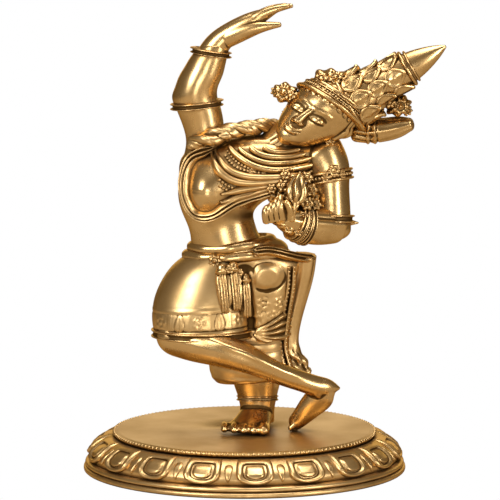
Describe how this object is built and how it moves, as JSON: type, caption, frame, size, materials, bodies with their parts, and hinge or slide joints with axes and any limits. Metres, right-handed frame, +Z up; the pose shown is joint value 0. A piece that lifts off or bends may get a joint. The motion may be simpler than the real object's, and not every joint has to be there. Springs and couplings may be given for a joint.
{
  "type": "cast brass dancer figurine",
  "caption": "Crowned female dancer in cast brass, one arm raised and one leg crossed, on a round lotus base.",
  "frame": {"origin": "on the surface it stands on, under the middle of the whole statue's bounding box", "axes": "+Z up, the front of the figure faces -Y, its raised hand is on the -X side and its crown points to +X"},
  "size_m": [0.181, 0.162, 0.2356],
  "materials": {
    "polished_brass": "hand-polished cast brass with dark patina left in the recesses",
    "aged_brass": "chased cast brass, darker and duller in its engraved pattern",
    "brushed_brass": "turned and brushed brass sheet, satin",
    "plated_steel": "zinc-plated steel fastener"
  },
  "bodies": {
    "root": {"lotus_base": "aged_brass", "deck_plate": "brushed_brass", "figure_stud": "plated_steel", "stud_washer": "plated_steel", "stud_nut": "plated_steel", "toe_rivet": "polished_brass", "standing_foot": "polished_brass", "standing_leg": "polished_brass", "anklet": "polished_brass", "trouser_cuff": "aged_brass", "crossed_shin": "polished_brass", "crossed_foot": "polished_brass", "torso": "polished_brass", "girdle": "polished_brass", "hips": "aged_brass", "skirt_hem": "polished_brass", "sash_tail": "aged_brass", "girdle_tassel": "polished_brass", "raised_upper_arm": "polished_brass", "raised_forearm": "polished_brass", "raised_armlet": "polished_brass", "raised_hand": "polished_brass", "raised_bangle": "polished_brass", "bent_upper_arm": "polished_brass", "bent_armlet": "polished_brass", "bent_elbow_band": "polished_brass", "bent_forearm": "polished_brass", "bracelet": "polished_brass", "bent_hand": "polished_brass", "shawl": "aged_brass", "lotus_bud": "polished_brass", "necklace": "polished_brass", "collar": "polished_brass", "shoulder_scarf": "aged_brass", "head": "polished_brass", "crown_bowl": "polished_brass", "crown_band": "polished_brass", "crown_spire": "polished_brass", "crown_leaf": "polished_brass", "ear_flower_right": "polished_brass", "ear_flower_left": "polished_brass", "hair_knot": "aged_brass"}
  },
  "joints": []
}
